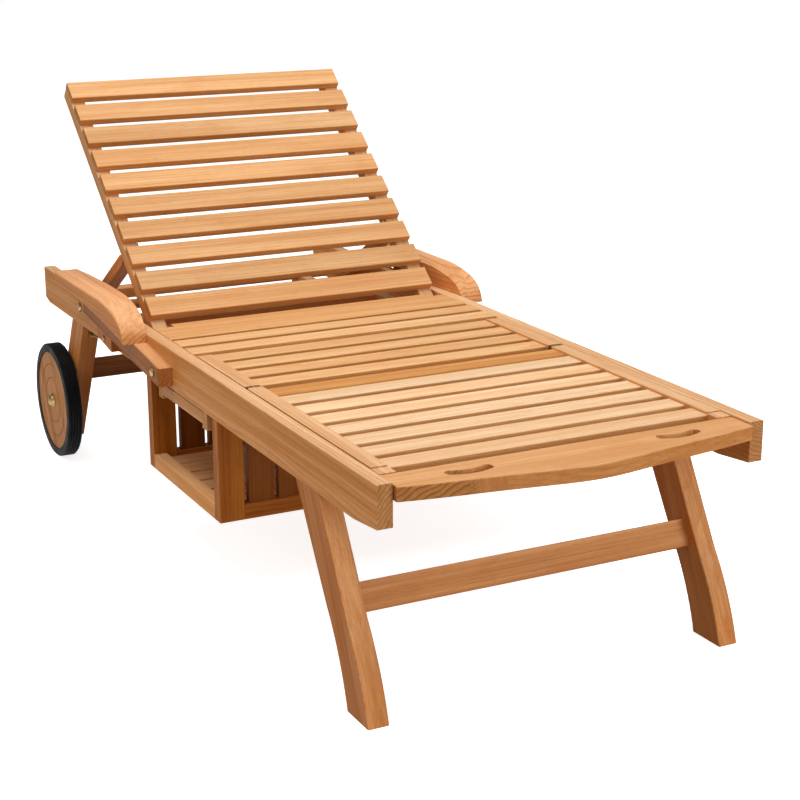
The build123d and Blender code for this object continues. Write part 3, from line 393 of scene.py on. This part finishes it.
# node: direction of the grain, tones and further settings of its teak
boards = {
    "side_rail_left": (lengthwise, honey, rail),
    "side_rail_right": (lengthwise, honey, rail),
    "seat_rail": (across, warm_tone, {}),
    "head_rail": (across, shaded_leg_tone, {}),
    "rack_rail": (across, shaded_leg_tone, {}),
    "seat_board": (across, seat_tone, {}),
    "ledges": (lengthwise, shaded_leg_tone, {}),
    "front_legs": ((0, 0.42, 0.91), shaded_leg_tone, {"painted_side_light": 0.74}),
    "rear_legs": ((0, 0.48, -0.88), shaded_leg_tone, {"painted_side_light": 0.82}),
    "front_stretcher": (across, shaded_leg_tone, {}),
    "rear_stretcher": (across, under_seat_shade_tone, {}),
    "armrests": (lengthwise, armrest_tone, {"figure": BOLD_FIGURE}),
    "arm_bars": ((0, 1, 0.096), bar_tone, {"painted_side_light": 0.66, "ends": 0.0}),
    "arm_blocks": (lengthwise, warm_tone, {}),
    "racks": (lengthwise, honey, {}),
    "back_stiles": (up_back, honey, {}),
    "prop_legs": (down_prop, warm_tone, {}),
    "prop_bar": (across, warm_tone, {}),
    "thigh_stiles": (lengthwise, honey, {}),
    "leg_stiles": (lengthwise, honey, {}),
    "knee_rail": (across, knee_tone, {"figure": BOLD_FIGURE}),
    # the foot board's hand holes get painted light on their walls
    "foot_board": (across, foot_board_tone, {
        "figure": BOLD_FIGURE, "arcs": 0.9, "cross": foot_board_mask,
        "cross_direction": (0.38, 0.91, 0.16), "patch": (hand_hole_painted_light, (1.25, 1.6, 2.2))}),
    "basket_ends": (upright, basket_shade_tone, {
        "cross": basket_end_mask, "patch": (basket_slat_painted_shade, (0.55, 0.50, 0.50))}),
    "basket_floor": (lengthwise, basket_floor_light_tone, {"cross": basket_floor_mask}),
    "tray": (across, honey, {"cross": tray_mask, "cross_direction": lengthwise}),
    "tray_runners": (across, block_tone, {}),
    "wheel_left": ((0, 0.45, 0.89), disc_tone, {}),
    "wheel_right": ((0, 0.62, 0.78), disc_tone, {}),
}
slat_tones = {"leg": leg_slat_tone, "thigh": thigh_slat_tone, "seat": thigh_slat_tone,
              "back": back_slat_tone}


def shaded(tones, seed):
    """The tones in a slat's own shade, a little darker or redder."""
    shift = 0.90 + 0.12 * ((seed * 0.731) % 1.0)
    red = 1.0 + 0.05 * ((seed * 0.417) % 1.0 - 0.5)
    return [tinted(tone, shift * red, shift, shift / red) for tone in tones]


def dress(name, material):
    nodes[name].data.materials.clear()
    nodes[name].data.materials.append(material)


slats = [name for name in nodes if "slat" in name]
seed = 1.0
for name in sorted(nodes):
    seed += SEED_STEP
    if name in boards:
        direction, tones, settings = boards[name]
        dress(name, teak("teak_" + name, direction, seed, tones, **settings))
    elif name in slats:
        tones = shaded(slat_tones[name.split("_")[0]], seed)
        dress(name, teak("teak_" + name, across, seed, tones, ends=SLAT_END_SHADE))

bright_brass = brass("brass_bright", (0.44, 0.30, 0.115, 1.0), (0.22, 0.145, 0.05, 1.0), 0.6)
dull_brass = brass("brass_dull", (0.46, 0.32, 0.16, 1.0), (0.26, 0.17, 0.08, 1.0), 0.7)
black_rubber = rubber("rubber_tyre")
bore_shade = painted_bore_shade("bore_shade")
for name in ("frame_bolts", "axle_bolts", "hook_left", "hook_right"):
    dress(name, bright_brass)
for name in ("prop_plates", "knee_hinges", "knee_leaves"):
    dress(name, dull_brass)
for name in ("tyre_left", "tyre_right"):
    dress(name, black_rubber)


# Eased edges on the boards

EASE_WIDTH = 0.0012
WELD_REACH = 0.00002
SHARP_EDGE = math.radians(40)
eased = slats + ["side_rail_left", "side_rail_right", "ledges", "rear_legs", "racks", "rack_rail",
                 "back_stiles", "thigh_stiles", "basket_ends", "basket_floor", "tray",
                 "tray_runners", "arm_blocks"]
for name in eased:
    weld = nodes[name].modifiers.new("weld", "WELD")
    weld.merge_threshold = WELD_REACH
    bevel = nodes[name].modifiers.new("ease", "BEVEL")
    bevel.width = EASE_WIDTH
    bevel.segments = 2
    bevel.limit_method = "ANGLE"
    bevel.angle_limit = SHARP_EDGE
    bevel.harden_normals = True


# Brass heads, caps and hooks, turned or bent over the plain pegs of the frame, with dark rings of
# painted shade round the heads

RAIL_FACE, BAR_FACE, CAP_FACE = 0.350, 0.378, 0.384      # from the middle
FOOT_END = 829.0            # of the rails, in millimetres before the frame's origin
TURNED_STEPS = 40


def linked(name, data):
    piece = bpy.data.objects.new(name, data)
    bpy.context.scene.collection.objects.link(piece)
    return piece


def from_foot(y):
    """A place along the lounger in metres, from its distance to the foot ends in millimetres."""
    return (y - FOOT_END) / 1000


def turned(name, profile, place, side, body, material):
    """A piece turned about a line across the lounger. The profile lists radius and height in
    millimetres, from its seat at place outwards."""
    shape = bmesh.new()
    rows = []
    for radius, height in profile:
        x = place[0] + side * height / 1000
        row = []
        for step in range(TURNED_STEPS if radius else 1):
            turn = 2 * math.pi * step / TURNED_STEPS
            row.append(shape.verts.new((x, place[1] + radius / 1000 * math.cos(turn),
                                        place[2] + radius / 1000 * math.sin(turn))))
        rows.append(row)
    for inner, outer in zip(rows, rows[1:]):
        for step in range(TURNED_STEPS):
            after = (step + 1) % TURNED_STEPS
            tips = [outer[0]] if len(outer) == 1 else [outer[after], outer[step]]
            shape.faces.new([inner[step], inner[after], *tips])
    if len(rows[-1]) == 1:
        shape.faces.new(rows[0])
    bmesh.ops.recalc_face_normals(shape, faces=shape.faces)
    mesh = bpy.data.meshes.new(name)
    shape.to_mesh(mesh)
    shape.free()
    for face in mesh.polygons:
        face.use_smooth = len(face.vertices) < TURNED_STEPS
    mesh.materials.append(material)
    piece = linked(name, mesh)
    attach(piece, body)


dome = [(8.4, 0.0), (8.3, 0.9), (7.7, 2.1), (6.5, 3.15), (4.6, 3.8), (2.4, 4.15), (0, 4.25)]
small_dome = [(5.4, 0.0), (5.3, 0.8), (4.6, 2.1), (3.4, 2.7), (1.8, 3.0), (0, 3.05)]
hub = [(15.5, 0.2), (15.5, 1.3), (15.0, 1.7), (12.6, 1.9), (12.4, 4.0), (11.6, 6.0), (9.4, 8.2),
       (6.2, 9.8), (3.2, 10.5), (0, 10.7)]
# flat rings of painted shade round the bolt heads, where the counterbores lie in shade
bore_shade_ring = [(10.6, 0.0), (10.4, 0.35), (9.6, 0.45), (8.6, 0.2), (8.2, 0.0)]
small_bore_shade_ring = [(7.2, 0.0), (7.0, 0.3), (6.2, 0.4), (5.5, 0.2), (5.2, 0.0)]
# name, profile, seat from the middle, distance to the foot ends, height, slot and material
heads = [
    ("hub_cap", hub, CAP_FACE, 1586, 0.1285, "brass", bright_brass),
    ("bar_bolt", dome, BAR_FACE, 902, 0.36065, "brass", bright_brass),
    ("bar_bolt_rim", bore_shade_ring, BAR_FACE, 902, 0.36065, "teak", bore_shade),
    ("leg_bolt", dome, RAIL_FACE, 1447.75, 0.36925, "brass", dull_brass),
    ("leg_bolt_rim", bore_shade_ring, RAIL_FACE, 1447.75, 0.36925, "teak", bore_shade),
    ("block_screw", small_dome, BAR_FACE, 1194.5, 0.36013, "brass", bright_brass),
    ("block_screw_rim", small_bore_shade_ring, BAR_FACE, 1194.5, 0.36013, "teak", bore_shade),
]
for side, hand in ((-1, "left"), (1, "right")):
    for name, profile, face, y, z, slot, material in heads:
        place = (side * face, from_foot(y), z)
        turned(f"{name}_{hand}", profile, place, side, "frame", material)


def bent_rod(name, points, thickness, body, material):
    """A round brass rod through the points."""
    data = bpy.data.curves.new(name, "CURVE")
    data.dimensions = "3D"
    data.bevel_depth = thickness / 2
    data.bevel_resolution = 4
    data.resolution_u = 6
    data.use_fill_caps = True
    line = data.splines.new("NURBS")
    line.points.add(len(points) - 1)
    for point, place in zip(line.points, points):
        point.co = (*place, 1.0)
    line.order_u = 3
    line.use_endpoint_u = True
    data.materials.append(material)
    piece = linked(name, data)
    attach(piece, body)
    return piece


HOOK_X, ROD_THICKNESS, EYE_RADIUS = 0.333, 0.0030, 0.0035
EYE_Y, EYE_Z = from_foot(1432), 0.308
TIP_Y, TIP_Z = from_foot(1356), 0.317
for side, hand in ((-1, "left"), (1, "right")):
    x = side * HOOK_X
    rod = []
    for step in range(9):       # once round the eye, with the rod's end beside its start
        turn = math.radians(150 - step * 45)
        lean = side * (0.0006 - 0.0004 * step / 4)
        rod.append((x + lean, EYE_Y - EYE_RADIUS * math.cos(turn), EYE_Z + EYE_RADIUS * math.sin(turn)))
    rod += [(x, EYE_Y - 0.010, EYE_Z + 0.0004), (x, EYE_Y - 0.030, EYE_Z + 0.0034),
            (x, EYE_Y - 0.055, EYE_Z + 0.0064), (x, TIP_Y + 0.003, TIP_Z - 0.0002),
            (x, TIP_Y - 0.0004, TIP_Z + 0.0004), (x, TIP_Y, TIP_Z + 0.003), (x, TIP_Y, TIP_Z + 0.0073)]
    hook = bent_rod("cabin_hook_" + hand, rod, ROD_THICKNESS, hand + "_hook", bright_brass)
    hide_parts("hook_" + hand)


# Camera, at the photograph's place

CAMERA_PLACE = (-1.40249, -2.96836, 1.23874)
YAW, PITCH, ROLL = math.radians(27.0103), math.radians(-16.4023), math.radians(-0.1762)
SENSOR_WIDTH = 36.0
FOCAL_PIXELS, PICTURE_PIXELS = 1742.877, 800


def shot():
    forward = Vector((math.sin(YAW) * math.cos(PITCH), math.cos(YAW) * math.cos(PITCH), math.sin(PITCH)))
    right = Vector((forward.y, -forward.x, 0)).normalized()
    up = right.cross(forward)
    tilted_right = right * math.cos(ROLL) + up * math.sin(ROLL)
    tilted_up = up * math.cos(ROLL) - right * math.sin(ROLL)
    turn = Matrix((tilted_right, tilted_up, -forward)).transposed().to_4x4()
    data = bpy.data.cameras.new("camera")
    data.sensor_width = SENSOR_WIDTH
    data.lens = SENSOR_WIDTH * FOCAL_PIXELS / PICTURE_PIXELS
    camera = linked("camera", data)
    camera.matrix_world = Matrix.Translation(CAMERA_PLACE) @ turn
    bpy.context.scene.camera = camera


# Studio: a floor that looks white but throws little light up, an overhead lamp and two weaker ones

def floor():
    half = 14.0
    corners = [(-half, -half, 0), (half, -half, 0), (half, half, 0), (-half, half, 0)]
    mesh = bpy.data.meshes.new("floor")
    mesh.from_pydata(corners, [], [(0, 1, 2, 3)])
    piece = linked("floor", mesh)
    material = bpy.data.materials.new("floor")
    g = Graph(material)
    path = g.node("ShaderNodeLightPath")
    seen = g.math("MAXIMUM", path.outputs["Is Camera Ray"], path.outputs["Is Glossy Ray"])
    lit = g.node("ShaderNodeBsdfDiffuse", None, Color=(0.84, 0.84, 0.84, 1.0))
    glow = g.node("ShaderNodeEmission", None, Color=(1, 1, 1, 1), Strength=0.8)
    pale = g.node("ShaderNodeAddShader", None, i0=lit.outputs[0], i1=glow.outputs[0])
    grey = g.node("ShaderNodeBsdfDiffuse", None, Color=(0.30, 0.26, 0.23, 1.0))
    both = g.node("ShaderNodeMixShader", None, i0=seen, i1=grey.outputs[0], i2=pale.outputs[0])
    g.node("ShaderNodeOutputMaterial", None, Surface=both.outputs[0])
    mesh.materials.append(material)


def sky():
    world = bpy.data.worlds.new("studio")
    bpy.context.scene.world = world
    g = Graph(world)
    seen = g.node("ShaderNodeLightPath").outputs["Is Camera Ray"]
    white = g.node("ShaderNodeBackground", None, Color=(1, 1, 1, 1), Strength=1.0)
    light = g.node("ShaderNodeBackground", None, Color=(1.0, 0.98, 0.95, 1.0), Strength=0.33)
    both = g.node("ShaderNodeMixShader", None, i0=seen, i1=light.outputs[0], i2=white.outputs[0])
    g.node("ShaderNodeOutputWorld", None, Surface=both.outputs[0])


def lamp(name, place, size, power):
    """A square lamp that looks at the seat."""
    data = bpy.data.lights.new(name, "AREA")
    data.shape = "SQUARE"
    data.size = size
    data.energy = power
    piece = linked(name, data)
    piece.location = place
    piece.rotation_euler = (Vector((0, 0, 0.3)) - Vector(place)).to_track_quat("-Z", "Y").to_euler()


shot()
floor()
sky()
lamp("overhead", (-0.3, -0.1, 3.3), 3.0, 110)
lamp("left", (-3.4, -0.6, 1.5), 2.0, 12)
lamp("front", (1.6, -3.8, 0.9), 2.0, 54)

bpy.context.scene.view_settings.view_transform = "Standard"
